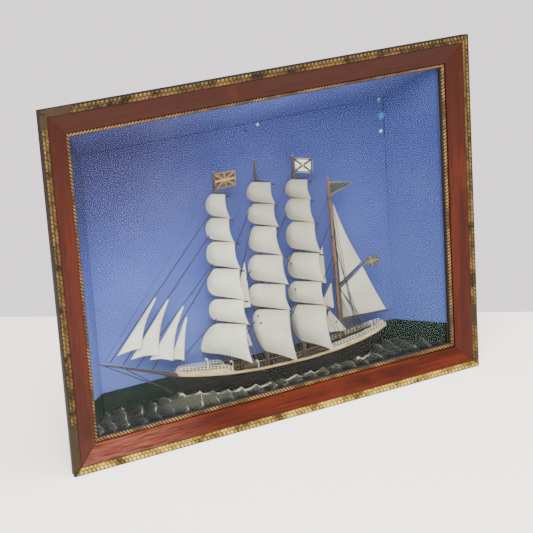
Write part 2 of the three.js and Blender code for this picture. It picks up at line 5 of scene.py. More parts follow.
import bpy
from mathutils import Matrix, Vector, noise
from mathutils.bvhtree import BVHTree


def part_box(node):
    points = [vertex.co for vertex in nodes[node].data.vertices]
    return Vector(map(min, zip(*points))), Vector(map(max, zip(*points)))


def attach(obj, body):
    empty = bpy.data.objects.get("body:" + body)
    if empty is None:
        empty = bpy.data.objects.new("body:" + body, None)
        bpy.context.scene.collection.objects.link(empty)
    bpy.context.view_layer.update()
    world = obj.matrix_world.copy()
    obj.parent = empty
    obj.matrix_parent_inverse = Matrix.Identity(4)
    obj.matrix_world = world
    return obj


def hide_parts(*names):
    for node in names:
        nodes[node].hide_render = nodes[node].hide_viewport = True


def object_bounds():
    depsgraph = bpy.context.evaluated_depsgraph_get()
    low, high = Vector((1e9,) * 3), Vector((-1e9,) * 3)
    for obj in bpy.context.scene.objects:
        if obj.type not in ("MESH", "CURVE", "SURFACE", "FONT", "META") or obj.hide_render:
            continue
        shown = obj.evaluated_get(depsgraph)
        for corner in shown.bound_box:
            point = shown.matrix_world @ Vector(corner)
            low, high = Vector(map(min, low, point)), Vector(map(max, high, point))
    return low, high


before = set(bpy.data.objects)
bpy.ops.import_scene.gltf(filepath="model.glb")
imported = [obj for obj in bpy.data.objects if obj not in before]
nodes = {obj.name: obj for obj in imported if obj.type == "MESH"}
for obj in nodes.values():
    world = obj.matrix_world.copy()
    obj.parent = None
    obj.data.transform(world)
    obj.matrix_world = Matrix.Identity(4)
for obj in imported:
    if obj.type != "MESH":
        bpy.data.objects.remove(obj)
cad_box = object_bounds()


# ---- camera ----
# A long lens stands off the left of the case and above it. The case leans back a little on the
# shelf, which the small turn about the lens's own axis takes up.
CAMERA_AT = Vector((-1.3261, -2.3840, 1.0637))
CAMERA_AZIMUTH = math.radians(-29.237)
CAMERA_ELEVATION = math.radians(17.099)
CAMERA_ROLL = math.radians(-3.776)
LENS_MM = 130.55
SENSOR_MM = 36

level = math.cos(CAMERA_ELEVATION)
backwards = Vector((
    math.sin(CAMERA_AZIMUTH) * level,
    -math.cos(CAMERA_AZIMUTH) * level,
    math.sin(CAMERA_ELEVATION),
))
across = (-backwards).cross(Vector((0, 0, 1))).normalized()
upward = across.cross(-backwards)
turned = Matrix.Rotation(CAMERA_ROLL, 3, backwards)
pose = Matrix((turned @ across, turned @ upward, backwards)).transposed().to_4x4()
pose.translation = CAMERA_AT
lens = bpy.data.cameras.new("camera")
lens.lens = LENS_MM
lens.sensor_width = SENSOR_MM
camera = bpy.data.objects.new("camera", lens)
camera.matrix_world = pose
bpy.context.scene.collection.objects.link(camera)
bpy.context.scene.camera = camera


# ---- case boards ----
# Five pine boards, nailed: a top, a bottom and two sides that slope in to a smaller back panel.
# Inside they are painted by hand, sky above a straight horizon and dark water below it.
# Outside they are left bare.
HORIZON = 0.0745
HORIZON_RISE = 0.3       # on the left board the painted horizon climbs towards the glass
CORNER_HIGH = 0.4315     # where the top board meets the back panel
OPEN_JOINT = (0.0003, 0.001)    # half-widths of a cracked joint: solid, then faded out
CASE_MIDDLE = (cad_box[0] + cad_box[1]) / 2


def colour(red, green, blue):
    """A colour as it looks, each part 0 to 255, as the linear one that shaders work with."""
    parts = [part / 255 for part in (red, green, blue)]
    return (*(p / 12.92 if p < 0.04 else ((p + 0.055) / 1.055) ** 2.4 for p in parts), 1)


class Socket:
    """One socket of a material's nodes. Sums on it add Math nodes, so 1 - mask reads as written."""

    def __init__(self, tree, socket=None):
        self.tree = tree
        self.socket = socket

    def node(self, kind, settings=(), values=(), out=0):
        """A new node of this type: its settings first, then the values or links of its sockets."""
        made = self.tree.nodes.new("ShaderNode" + kind)
        for name, value in dict(settings).items():
            if name == "stops":
                ramp = made.color_ramp.elements
                while len(ramp) < len(value):
                    ramp.new(1)
                for stop, (place, tint) in zip(ramp, value):
                    stop.position = place
                    stop.color = tint
            else:
                setattr(made, name, value)
        for name, value in dict(values).items():
            if isinstance(value, Socket):
                self.tree.links.new(value.socket, made.inputs[name])
            else:
                made.inputs[name].default_value = value
        return Socket(self.tree, made.outputs[out])

    def math(self, operation, *others):
        return self.node("Math", {"operation": operation}, enumerate((self, *others)))

    def vector(self, operation, *others, out=0):
        return self.node("VectorMath", {"operation": operation}, enumerate((self, *others)), out)

    def __add__(self, other):
        return self.math("ADD", other)

    def __sub__(self, other):
        return self.math("SUBTRACT", other)

    def __rsub__(self, other):
        return self.math("MULTIPLY_ADD", -1, other)

    def __mul__(self, other):
        return self.math("MULTIPLY", other)

    def __truediv__(self, other):
        return self.math("DIVIDE", other)

    def __gt__(self, other):
        return self.math("GREATER_THAN", other)

    def __lt__(self, other):
        return self.math("LESS_THAN", other)

    __radd__ = __add__
    __rmul__ = __mul__

    def step(self, low, high):
        """0 below low, 1 above high and a smooth rise between them."""
        return self.node("MapRange", {"interpolation_type": "SMOOTHSTEP"},
                         {"Value": self, "From Min": low, "From Max": high})

    def tint(self, first, second):
        """A colour that goes from first to second as this socket goes from 0 to 1."""
        return self.node("Mix", {"data_type": "RGBA"}, {0: self, 6: first, 7: second}, 2)

    def noise(self, scale, detail=3, roughness=0.5):
        """Cloudy noise over this socket's places, as a number."""
        return self.node("TexNoise", {}, {
            "Vector": self, "Scale": scale, "Detail": detail, "Roughness": roughness,
        })

    def marked(self):
        """The number that each point of the piece carries."""
        return self.node("Attribute", {"attribute_name": "mark"}, out="Fac")

    def bump(self, distance, strength=1):
        """A surface normal raised by this height, which is 0 to 1 of distance in metres."""
        return self.node("Bump", {}, {"Height": self, "Distance": distance, "Strength": strength})

    def feeds(self, name):
        """Joins this socket to the surface's own socket of that name."""
        surface = self.tree.nodes["Principled BSDF"]
        self.tree.links.new(self.socket, surface.inputs[name])


def finish(name, **fixed):
    """A new material with these fixed values. Returns it, its places and its face directions."""
    made = bpy.data.materials.new(name)
    made.use_nodes = True
    surface = made.node_tree.nodes["Principled BSDF"]
    for label, value in fixed.items():
        surface.inputs[label.replace("_", " ")].default_value = value
    start = Socket(made.node_tree)
    return made, start.node("TexCoord", out="Object"), start.node("TexCoord", out="Normal")


def axis(places, which):
    """The x, y or z number of a vector."""
    return places.node("SeparateXYZ", {}, {0: places}, "XYZ".index(which))


def dress(material, *names):
    """Gives a CAD node its finish in place of the plain one it came with."""
    for name in names:
        nodes[name].data.materials.clear()
        nodes[name].data.materials.append(material)


# Flecks where the paint is chipped to the filler, or touched in with the wrong blue, and one
# pale spot that is a painted reflection: the place, radius and colour of each.
PANEL_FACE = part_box("case_back_panel")[0].y
FLECKS = (
    # A painted reflection of the glass: a pale spot high in the middle.
    ((0.0335, PANEL_FACE, 0.427), 0.003, colour(178, 182, 200)),
    ((0.012, PANEL_FACE, 0.4215), 0.0032, colour(62, 42, 52)),
    ((-0.2, PANEL_FACE, 0.4185), 0.0012, colour(52, 40, 48)),
    ((0.2485, PANEL_FACE, 0.38), 0.003, colour(196, 206, 200)),
    ((0.2505, PANEL_FACE, 0.404), 0.006, colour(58, 122, 176)),
    ((0.2475, PANEL_FACE, 0.43), 0.0035, colour(120, 160, 176)),
)


def boards_finish(name, grain_along):
    """Paint on the faces that look into the case, bare pine on the others."""
    made, places, facing = finish(name, Specular_IOR_Level=0.04)
    x, z = axis(places, "X"), axis(places, "Z")
    outward = places.vector("SUBTRACT", tuple(CASE_MIDDLE))
    painted = outward.vector("DOT_PRODUCT", facing, out="Value") < 0
    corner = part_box("case_left_board")[1].x
    past = (corner - x).math("MAXIMUM", 0)
    height = z - past * HORIZON_RISE

    brushed = places.vector("MULTIPLY", (14, 14, 60)).noise(2.4, 4)
    cloudy = places.noise(7, 3, 0.6)
    lift = (height - HORIZON) / (CORNER_HIGH - HORIZON) * 0.8 + (cloudy - 0.5) * 0.25
    # The ramp darkens from the horizon upwards, then turns lighter again past the corner, on the
    # top board: painted light.
    sky_and_painted_light = lift.node("ValToRGB", {"stops": [
        (0, colour(94, 108, 178)), (0.36, colour(70, 80, 150)), (0.7, colour(52, 58, 114)),
        (0.82, colour(54, 61, 120)), (0.95, colour(84, 94, 160)),
    ]}, {0: lift})
    sky_and_painted_light = (brushed * 0.22).tint(sky_and_painted_light, colour(90, 102, 176))
    # Painted reflection of the glass: a dark purple-grey over the upper left.
    reflection_at_left = (0.04 - x).step(-0.01, 0.26)
    sky_and_painted_light = (reflection_at_left * height.step(0.22, 0.4) * 0.65).tint(sky_and_painted_light, colour(52, 47, 76))
    # Painted shade: the blue turns darker towards the right.
    shade_at_right = x.step(0, 0.3)
    sky_and_painted_light = (shade_at_right * 0.6).tint(sky_and_painted_light, colour(42, 54, 106))
    spots = places.noise(240, 2) > 0.73
    sky_and_painted_light = (spots * 0.3).tint(sky_and_painted_light, colour(44, 48, 88))
    from_side = (x + corner).math("ABSOLUTE")
    from_top = (z - CORNER_HIGH).math("ABSOLUTE")
    on_back = x.math("ABSOLUTE") < -corner
    crack = (1 - from_side.step(*OPEN_JOINT)) * z.step(0.1, 0.4)
    crack = crack.math("MAXIMUM", (1 - from_top.step(*OPEN_JOINT)) * on_back)
    broken = places.noise(32, 3, 0.7).step(0.36, 0.52)
    sky_and_painted_light = (crack * broken * 0.8).tint(sky_and_painted_light, colour(30, 28, 44))
    for spot, size, tone in FLECKS:
        away = places.vector("DISTANCE", spot, out="Value")
        ragged = away + (places.noise(620, 3, 0.7) - 0.5) * size * 3
        sky_and_painted_light = ((1 - ragged.step(size * 0.5, size)) * 0.85).tint(sky_and_painted_light, tone)
    water = places.noise(30, 4, 0.6).tint(colour(17, 27, 22), colour(27, 40, 33))
    edge = (places.noise(45, 2) - 0.5) * 0.0012
    above = (height + edge).step(HORIZON - 0.0006, HORIZON + 0.0006)
    inside = above.tint(water, sky_and_painted_light)

    stretch = (6, 240, 240) if grain_along == "X" else (240, 240, 6)
    grain = places.vector("MULTIPLY", stretch).noise(1.3, 5, 0.65)
    rings = places.vector("MULTIPLY", tuple(s / 6 for s in stretch)).noise(1.5, 2)
    pine = (grain * 0.6 + rings * 0.4).step(0.3, 0.75)
    pine = pine.tint(colour(92, 66, 42), colour(132, 100, 66))
    grime = places.noise(9, 3).step(0.5, 0.75) * 0.5
    pine = grime.tint(pine, colour(70, 54, 38))

    painted.tint(pine, inside).feeds("Base Color")
    (0.78 + 0.15 * cloudy).feeds("Roughness")
    (grain * (1 - painted) + brushed * painted * 0.1).bump(0.0003, 0.4).feeds("Normal")
    return made


dress(boards_finish("boards_across", "X"), "case_back_panel", "case_bottom_board", "case_top_board")
dress(boards_finish("boards_upright", "Z"), "case_left_board", "case_right_board")


# ---- frame rails ----
# Four lengths of mahogany moulding, mitred and glued, French polished over a red-brown stain.
# The grain runs along each rail, and the polish is thick enough to shine.
SIDES = ("bottom", "top", "left", "right")
RAIL_ARRIS = 0.0005
# The lower colour of each pair is the stain lightened with painted sheen.
LOW_SHEEN_AND_HIGH_STAIN = {
    "X": (colour(82, 29, 11), colour(50, 22, 11)),
    "Z": (colour(70, 25, 10), colour(50, 19, 8)),
}
LOWER_LEFT_SHEEN = {"X": 1, "Z": 0.1}      # how far painted sheen and a thicker coat reach over the lower left


def mahogany_finish(name, grain_along):
    """Stain and polish, with painted sheen low down, for rails whose grain runs along X or Z."""
    made, places, _ = finish(name, Specular_IOR_Level=0.1, Coat_Roughness=0.22)
    x, z = axis(places, "X"), axis(places, "Z")
    stretch = (5, 70, 70) if grain_along == "X" else (70, 70, 5)
    along = places.vector("MULTIPLY", stretch)
    figure = along.noise(1.1, 3, 0.6)
    streaks = along.noise(5.5, 4, 0.65)
    pores = along.noise(20, 2, 0.5)
    # Painted sheen: lower down, the rails take the lighter colour.
    light = z.step(0.3, 0.5).tint(*LOW_SHEEN_AND_HIGH_STAIN[grain_along])
    stain_and_painted_light = figure.step(0.32, 0.68).tint(colour(50, 15, 7), light)
    stain_and_painted_light = (streaks.step(0.45, 0.75) * 0.6).tint(stain_and_painted_light, colour(34, 11, 5))
    stain_and_painted_light = (pores.step(0.6, 0.72) * 0.6).tint(stain_and_painted_light, colour(20, 8, 5))
    worn = places.noise(16, 3).step(0.56, 0.74) * 0.35
    stain_and_painted_light = worn.tint(stain_and_painted_light, colour(84, 36, 18))
    # Painted reflection of the bright floor: a pinkish sheen streaked along the grain at the lower
    # left, where the coat is also thicker.
    sheen_and_polish = (-0.1 - x).step(0, 0.15) * (1 - z.step(0.04, 0.06)) * LOWER_LEFT_SHEEN[grain_along]
    (sheen_and_polish * streaks.step(0.3, 0.65) * 0.4).tint(stain_and_painted_light, colour(142, 84, 70)).feeds("Base Color")
    (0.38 + 0.2 * streaks).feeds("Roughness")
    (0.04 + sheen_and_polish * streaks.step(0.4, 0.6) * 0.5 - 0.04 * worn).feeds("Coat Weight")
    (streaks * 0.6 - pores * 0.4).bump(0.0003, 0.5).feeds("Normal")
    return made


dress(mahogany_finish("mahogany_across", "X"), "frame_rail_bottom", "frame_rail_top")
dress(mahogany_finish("mahogany_upright", "Z"), "frame_rail_left", "frame_rail_right")
for side in SIDES:
    eased = nodes[f"frame_rail_{side}"].modifiers.new("eased", "BEVEL")
    eased.width = RAIL_ARRIS
    eased.segments = 2
    eased.limit_method = "ANGLE"
    eased.harden_normals = True


# ---- gilt edges ----
# Strips of cast composition on the frame's outer edge, laid with metal leaf over a red ground:
# a row of beads, then a row of leaf tips. Knocks have broken the cast away near some corners.
MM = 0.001
FRONT = cad_box[0].y
WIDE = cad_box[1].x - cad_box[0].x
HIGH = cad_box[1].z - cad_box[0].z
UP = Vector((0, 0, 1))
BEAD_PITCH = 6.4 * MM
PLAIN_MARK = 0.2        # what a point without ornament is marked with: painted dark, as shade


def smooth_but_for(mesh, degrees):
    """Smooth shading, but for the edges that turn more sharply than this."""
    mesh.shade_smooth()
    mesh.set_sharp_from_angle(angle=math.radians(degrees))


class Shape:
    """Points and faces of one piece, gathered from closed skins, with a number for each point."""

    def __init__(self):
        self.points = []
        self.faces = []
        self.marks = []

    def skin(self, rings, marks=None):
        """A skin over closed rings of points, with its two ends shut."""
        base = len(self.points)
        count = len(rings[0])
        for ring in rings:
            self.points.extend(ring)
        self.marks.extend(marks or [0.0] * (count * len(rings)))
        last = base + count * (len(rings) - 1)
        for a in range(base, last, count):
            for j in range(count):
                k = (j + 1) % count
                self.faces.append((a + j, a + k, a + count + k, a + count + j))
        self.faces.append(tuple(range(base + count - 1, base - 1, -1)))
        self.faces.append(tuple(range(last, last + count)))

    def rod(self, line, radii, sides=8):
        """A round rod along a line of points. radii is one radius, or one for each point."""
        if not hasattr(radii, "__len__"):
            radii = [radii] * len(line)
        rings = []
        steady = None
        for i, point in enumerate(line):
            along = (line[min(i + 1, len(line) - 1)] - line[max(i - 1, 0)]).normalized()
            if steady is None:
                steady = along.orthogonal().normalized()
            steady = (steady - along * steady.dot(along)).normalized()
            other = along.cross(steady)
            turns = [2 * math.pi * n / sides for n in range(sides)]
            rings.append([
                point + (steady * math.cos(t) + other * math.sin(t)) * radii[i] for t in turns
            ])
        self.skin(rings)

    def turning(self, foot, up, outline, sides=12):
        """A turned form: outline is pairs of height and radius from foot along up."""
        steady = up.orthogonal().normalized()
        other = up.normalized().cross(steady)
        turns = [2 * math.pi * n / sides for n in range(sides)]
        self.skin([
            [
                foot + up.normalized() * height
                + (steady * math.cos(t) + other * math.sin(t)) * radius for t in turns
            ]
            for height, radius in outline
        ])

    def ball(self, middle, size, up=UP, sides=8):
        """A rounded block or bead, size being its half-length along up and its radius."""
        half, radius = size
        outline = []
        for n in range(sides // 2 + 1):
            turn = math.pi * n / (sides // 2)
            outline.append((-half * math.cos(turn), max(radius * math.sin(turn), radius * 0.05)))
        self.turning(middle, up, outline, sides)

    def piece(self, name, material, smooth=40):
        """The finished piece, fixed to the case, with its finish."""
        mesh = bpy.data.meshes.new(name)
        mesh.from_pydata(self.points, [], self.faces)
        mesh.attributes.new("mark", "FLOAT", "POINT").data.foreach_set("value", self.marks)
        smooth_but_for(mesh, smooth)
        mesh.materials.append(material)
        made = bpy.data.objects.new(name, mesh)
        bpy.context.scene.collection.objects.link(made)
        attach(made, "case")
        return made


def on_side(side, run, inset, depth):
    """A point of the frame: run along a side from its middle, inset from the outer edge, depth
    behind the front."""
    if side in ("bottom", "top"):
        height = inset if side == "bottom" else HIGH - inset
        return Vector((run, FRONT + depth, height))
    width = -WIDE / 2 + inset if side == "left" else WIDE / 2 - inset
    return Vector((width, FRONT + depth, HIGH / 2 + run))


def mitred(shape, side, outline, relief, step):
    """A moulding along one side of the frame, mitred at both ends. outline holds its insets and
    depths in millimetres and says which are carved, with relief(run, inset) giving the ornament's
    height and its mark."""
    outline = [(inset * MM, depth * MM, carved) for inset, depth, carved in outline]
    half = (WIDE if side in ("bottom", "top") else HIGH) / 2
    plain = half - outline[-1][0]
    count = 2 * round(plain / step)
    runs = [plain * (2 * i / count - 1) for i in range(count + 1)]
    ends = [n / 4 for n in range(1, 5)]
    stations = [(-plain, e) for e in reversed(ends)] + [(r, 0) for r in runs]
    stations += [(plain, e) for e in ends]
    rings, marks = [], []
    for run, corner in stations:
        ring = []
        for inset, depth, carved in outline:
            extra = (half - inset - plain) * corner
            place = run + math.copysign(extra, run)
            height, mark = relief(place, inset) if carved else (0, PLAIN_MARK)
            ring.append(on_side(side, place, inset, depth - height))
            marks.append(mark)
        rings.append(ring)
    if side in ("top", "left"):
        rings.reverse()
        width = len(outline)
        marks = [m for i in range(len(rings) - 1, -1, -1) for m in marks[i * width:(i + 1) * width]]
    shape.skin(rings, marks)


def bumped(across_share, along_share):
    """Height of a dome at a place given as shares of its half-width and half-length."""
    return math.sqrt(max(0, 1 - across_share ** 2 - along_share ** 2))


# Where the cast is broken away: side, middle of the loss along it, and half its length.
LOSSES = (
    ("left", -0.222, 0.036), ("left", 0.247, 0.011),
    ("right", -0.178, 0.018), ("top", -0.322, 0.02),
)
BEAD_ROW, BEAD_HALF, BEAD_HIGH = 3.5, 2.4, 1.9      # inset, half-width and height in millimetres
LEAF_ROW, LEAF_HALF, LEAF_HIGH = 8.7, 2.1, 1.25


def edge_relief(side):
    """The ornament of one side: its height at a place, and the mark that its gilding reads."""
    def relief(run, inset):
        u = inset / MM
        wobble = noise.noise(Vector((run * 60, u, len(side))))
        bead = (run / BEAD_PITCH + 0.5) % 1 - 0.5
        tip = (run / BEAD_PITCH) % 1 - 0.5 + 0.05 * (u - 8.6)
        height = BEAD_HIGH * bumped((u - BEAD_ROW) / BEAD_HALF, bead / 0.44)
        leaf = bumped((u - LEAF_ROW) / LEAF_HALF, tip / 0.46)
        vein = 0.45 * math.exp(-(tip / 0.07) ** 2)
        height += LEAF_HIGH * leaf * (1 - vein)
        whole = 1.0
        for place, middle, half in LOSSES:
            if place == side:
                ragged = half * (1 + 0.25 * noise.noise(Vector((run * 300, u * 0.4, 1))))
                whole = min(whole, max(0, min(1, (abs(run - middle) - ragged) / (1.2 * MM))))
        height = height * whole * (1 + 0.15 * wobble) + 0.5 * whole
        # The mark drops in scallops along the outer rim: painted shadow of the leaf tips.
        notch = 0.5 + 0.9 * abs(math.sin(math.pi * run / BEAD_PITCH))
        rim = max(0, min(1, (u - notch) / 0.7))
        return height * MM, whole * (0.2 + rim * min(0.8, 0.05 + height / 2))

    return relief


CAST_OUTLINE = [(0, 8, False), (0, 3.4, False)]
CAST_OUTLINE += [(0.3 + 0.59 * n, 2.6 + 0.8 * (n / 19) ** 2, True) for n in range(19)]
CAST_OUTLINE += [(11.5, 3.4, False), (11.5, 8, False)]


def gilt_finish(name, bright, dull, darkening):
    """Metal leaf over a red ground, darker where a point stands low; on rim and grooves, painted
    shadow.
    """
    made, places, _ = finish(name, Specular_IOR_Level=0.3)
    stands = places.marked()
    patches = places.noise(38, 4, 0.6)
    leaf = patches.step(0.35, 0.65).tint(dull, bright)
    rubbed = places.noise(120, 3, 0.6).step(0.58, 0.7) * 0.7
    leaf = rubbed.tint(leaf, colour(92, 48, 28))
    kept = stands.step(0.3, 0.62 + darkening)
    tone = kept.tint(colour(16, 10, 5), leaf)
    lost = 1 - stands.step(0.02, 0.12)
    lost.tint(tone, patches.tint(colour(30, 17, 7), colour(54, 39, 15))).feeds("Base Color")
    (kept * (1 - lost) * (1 - rubbed) * 0.85).feeds("Metallic")
    (0.66 - 0.2 * kept + 0.2 * lost).feeds("Roughness")
    places.noise(900, 2).bump(0.0002, 0.5).feeds("Normal")
    return made


old_gilt = gilt_finish("old_gilt", colour(116, 88, 42), colour(36, 26, 12), 0.34)
# The bottom strip has a brighter copy of the same gilding: painted light.
painted_light_gilt = gilt_finish("painted_light_gilt", colour(200, 168, 70), colour(76, 56, 20), 0.24)
for side in SIDES:
    strip = Shape()
    mitred(strip, side, CAST_OUTLINE, edge_relief(side), BEAD_PITCH / 8)
    leafed = painted_light_gilt if side == "bottom" else old_gilt
    cast = strip.piece(f"gilt_edge_{side}_cast", leafed, smooth=70)
    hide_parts(f"gilt_edge_{side}")


# ---- gilt slip ----
# A narrow inner moulding that holds the glass: a half-round carved as a two-strand rope and
# gilded, with a dark line of painted shade on either side. Its four lengths are mitred and pinned.
ROPE_PITCH = 5.2 * MM
ROPE_MIDDLE = 42.2      # millimetres, as are the next three
ROPE_HALF = 2.75
ROPE_HIGH = 2.1
STRAND_WIDE = 6.5


def rope_relief(run, inset):
    """The rope's height at a place, and the mark that its gilding reads."""
    u = inset / MM
    round_part = bumped((u - ROPE_MIDDLE) / ROPE_HALF, 0)
    lay = abs(math.sin(math.pi * (run / ROPE_PITCH + (u - ROPE_MIDDLE) / STRAND_WIDE)))
    height = ROPE_HIGH * round_part * (0.62 + 0.38 * lay ** 0.6)
    return height * MM, min(1, 0.1 + round_part * lay ** 2.2)


SLIP_DEEP = (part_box("gilt_slip")[1].y - FRONT) / MM
SLIP_OUTLINE = [(39, SLIP_DEEP, False)]
SLIP_OUTLINE += [(39 + 0.46 * n, 12 + 2.1 * (n / 14) ** 1.2, True) for n in range(15)]
SLIP_OUTLINE += [(45.7, 14.6, False), (45.7, SLIP_DEEP, False)]
rope = Shape()
for side in SIDES:
    mitred(rope, side, SLIP_OUTLINE, rope_relief, ROPE_PITCH / 8)
slip_gilt = gilt_finish("slip_gilt", colour(150, 114, 60), colour(80, 58, 30), 0.1)
rope_slip = rope.piece("rope_slip", slip_gilt, smooth=70)
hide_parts("gilt_slip")


# ---- glass ----
# One pane of thin old window glass, held between the slip and the rails. It is clean but for a
# film of dust, and reflects more as it is seen at a slant.
pane = bpy.data.materials.new("old_glass")
pane.use_nodes = True
start = Socket(pane.node_tree)
places = start.node("TexCoord", out="Object")
film = places.noise(9, 4, 0.6).step(0.45, 0.8) * 0.004
grazing = start.node("Fresnel", {}, {"IOR": 1.3})
clear = start.node("BsdfTransparent", {}, {"Color": colour(250, 253, 252)})
shine = start.node("BsdfGlossy", {}, {"Color": colour(255, 255, 255), "Roughness": 0.03})
glass = start.node("MixShader", {}, {0: grazing * 0.2 + film, 1: clear, 2: shine})
output = pane.node_tree.nodes["Material Output"]
pane.node_tree.links.new(glass.socket, output.inputs["Surface"])
dress(pane, "glass_pane")


# ---- sea ----
# Putty laid on a wooden bed, pulled up with a knife into leaning ridges that run back from the
# glass, then painted dark grey-green with broken white on the crests and round the hull.
SHIP_Y = sum(corner.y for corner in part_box("bowsprit")) / 2
RIDGE_PITCH = 24 * MM
RIDGE_HIGH = 6.4 * MM
RIDGE_SLANT = 0.36
CREST = 0.72            # how far along a ridge its crest stands
SEA_LEVEL = 40.2        # millimetres, as are the next two
BOW = -138
BOW_WAVE = 14
SEA_STEP = 1.2 * MM
WATERLINE = 0.042

sea_low, sea_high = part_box("sea_base")
sea_points = [vertex.co for vertex in nodes["sea_base"].data.vertices]
mouth_half = max(p.x for p in sea_points if p.y < sea_low.y + MM)
back_half = max(p.x for p in sea_points if p.y > sea_high.y - MM)
hull_solid = BVHTree.FromPolygons(
    [v.co for v in nodes["ship_hull"].data.vertices],
    [p.vertices for p in nodes["ship_hull"].data.polygons],
)


def ridge(share):
    """A leaning wave: a long hollow back, a rounded crest and a short steep face."""
    share %= 1
    if share < CREST:
        return (share / CREST) ** 1.7
    return (1 - (share - CREST) / (1 - CREST)) ** 1.3


def sea_at(x, y):
    """Height of the sea and how much white paint it carries there."""
    depth = (y - sea_low.y) / (sea_high.y - sea_low.y)
    slant = RIDGE_SLANT * (0.5 - x / WIDE)
    bend = noise.noise(Vector((x * 22, y * 26, 3)))
    place = (x - slant * (y - sea_low.y) + bend * 9 * MM) / RIDGE_PITCH
    choppy = noise.noise(Vector((x * 95, y * 95, 8)))
    fine = noise.noise(Vector((x * 260, y * 210, 2)))
    patch = noise.noise(Vector((x * 40, y * 60, 12)))
    from_bow = (x / MM - BOW) / (70 if x / MM > BOW else 32)
    bow_wave = BOW_WAVE * math.exp(-from_bow ** 2 - ((y - SHIP_Y) / (24 * MM)) ** 2)
    swell = 1.5 * math.sin(x / MM / 55 + 1) * (1 - depth)
    height = SEA_LEVEL + swell + bow_wave + RIDGE_HIGH / MM * (0.75 + 0.4 * patch) * ridge(place)
    height += 0.9 * choppy + 0.5 * fine
    away = hull_solid.find_nearest(Vector((x, y, WATERLINE)))[3] / MM
    white = max(0, 1 - abs((place % 1) - 0.74) / 0.065) * (0.7 + 1.1 * patch + 0.7 * choppy)
    wake = max(0, 1 - abs(away - 4 - 3 * choppy) / 3.5) * (0.6 + 1.2 * patch)
    height += 1.6 * max(0, 1 - away / 7)
    return height * MM, min(1, max(white, wake, 0))


rows = round((sea_high.y - sea_low.y) / SEA_STEP)
columns = round(2 * mouth_half / SEA_STEP)
rings, marks = [], []
for i in range(rows + 1):
    y = sea_low.y + (sea_high.y - sea_low.y) * i / rows
    half = mouth_half + (back_half - mouth_half) * i / rows
    ring = [Vector((-half, y, sea_low.z))]
    marks.append(0.0)
    for j in range(columns + 1):
        x = half * (2 * j / columns - 1)
        height, white = sea_at(x, y)
        ring.append(Vector((x, y, height)))
        marks.append(white)
    ring.append(Vector((half, y, sea_low.z)))
    marks.append(0.0)
    rings.append(ring)
putty = Shape()
putty.skin(rings, marks)

sea_paint, places, _ = finish("sea_paint", Specular_IOR_Level=0.3)
white = places.marked()
troughs = axis(places, "Z").step(0.0385, 0.0475)
daubs = places.noise(70, 4, 0.65)
body = (troughs * 0.7 + daubs * 0.5).step(0.3, 0.95).tint(colour(20, 23, 19), colour(62, 60, 49))
strokes = places.vector("MULTIPLY", (420, 90, 260)).noise(1, 3, 0.6)
foam = (white + (strokes - 0.5) * 1.1).step(0.32, 0.66)
(foam * 0.85).tint(body, colour(186, 178, 160)).feeds("Base Color")
(0.5 - 0.1 * daubs).feeds("Roughness")
(strokes * 0.7 + daubs * 0.5).bump(0.0012, 0.8).feeds("Normal")
modelled_sea = putty.piece("modelled_sea", sea_paint, smooth=180)
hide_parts("sea_base")


# ---- hull ----
# A solid waterline hull carved from pine, painted black, with a planked and varnished deck. A
# half-round ochre moulding follows the edge of the deck from end to end.
PLANK = 2.1 * MM
STEM = -0.149           # the bulwark's edge is followed from here aft

hull_black, places, facing = finish("hull_black", Specular_IOR_Level=0.08)
scuffs = places.vector("MULTIPLY", (40, 200, 200)).noise(1.2, 4, 0.6)
black = scuffs.step(0.4, 0.8).tint(colour(8, 7, 6), colour(25, 21, 18))
black = (places.noise(260, 2) > 0.7).tint(black, colour(104, 88, 62))
seams = (axis(places, "Y") / PLANK).math("FRACT") < 0.14
deck = scuffs.step(0.3, 0.7).tint(colour(34, 27, 20), colour(62, 50, 36))
deck = (seams * 0.7).tint(deck, colour(22, 17, 13))
upward_face = axis(facing, "Z") > 0.8
upward_face.tint(black, deck).feeds("Base Color")
(0.5 + 0.2 * scuffs).feeds("Roughness")
scuffs.bump(0.0003, 0.5).feeds("Normal")
dress(hull_black, "ship_hull")
smooth_but_for(nodes["ship_hull"].data, 32)


def bulwark_edge(side, top):
    """The outer edge of the bulwark on one side, from the bow aft, at its top or at its foot."""
    found = {}
    for vertex in nodes["ship_bulwark"].data.vertices:
        point = vertex.co
        out = (point.y - SHIP_Y) * side
        if point.x < STEM or out < 2 * MM:
            continue
        key = round(point.x / MM)
        best = found.get(key)
        score = out + (point.z if top else -point.z) * 4
        if best is None or score > best[0]:
            found[key] = (score, point.copy())
    return [found[key][1] for key in sorted(found)]


def along_edge(edge, x):
    """The point of an edge at x, or its nearer end where x lies beyond it."""
    for a, b in zip(edge, edge[1:]):
        if a.x <= x <= b.x:
            return a.lerp(b, (x - a.x) / max(b.x - a.x, 1e-6))
    return (edge[0] if x < edge[0].x else edge[-1]).copy()


def mottled_finish(name, scale, first, second, detail=3, **fixed):
    """A finish that drifts from one colour to another and back. Returns it with its places."""
    made, places, _ = finish(name, **fixed)
    places.noise(scale, detail).tint(first, second).feeds("Base Color")
    return made, places


moulding = Shape()
for side in (-1, 1):
    foot = bulwark_edge(side, False)
    moulding.rod([p + Vector((0, side * 0.2 * MM, -0.4 * MM)) for p in foot], 0.75 * MM)
ochre, _ = mottled_finish(
    "ochre_paint", 160, colour(120, 92, 46), colour(176, 146, 84), Roughness=0.5,
)
moulding.piece("sheer_moulding", ochre)


# ---- bulwark and rails ----
# A low cream-painted wall round the deck with a flat capping. The forecastle and the poop carry
# a white railing of turned posts and two thin rails, glued into the capping.
POST_PITCH = 5.6 * MM
RAILINGS = ((-0.148, -0.064, 6 * MM), (0.106, 0.209, 6.2 * MM))      # from, to and height
WALL_TOPS = {side: bulwark_edge(side, True) for side in (-1, 1)}

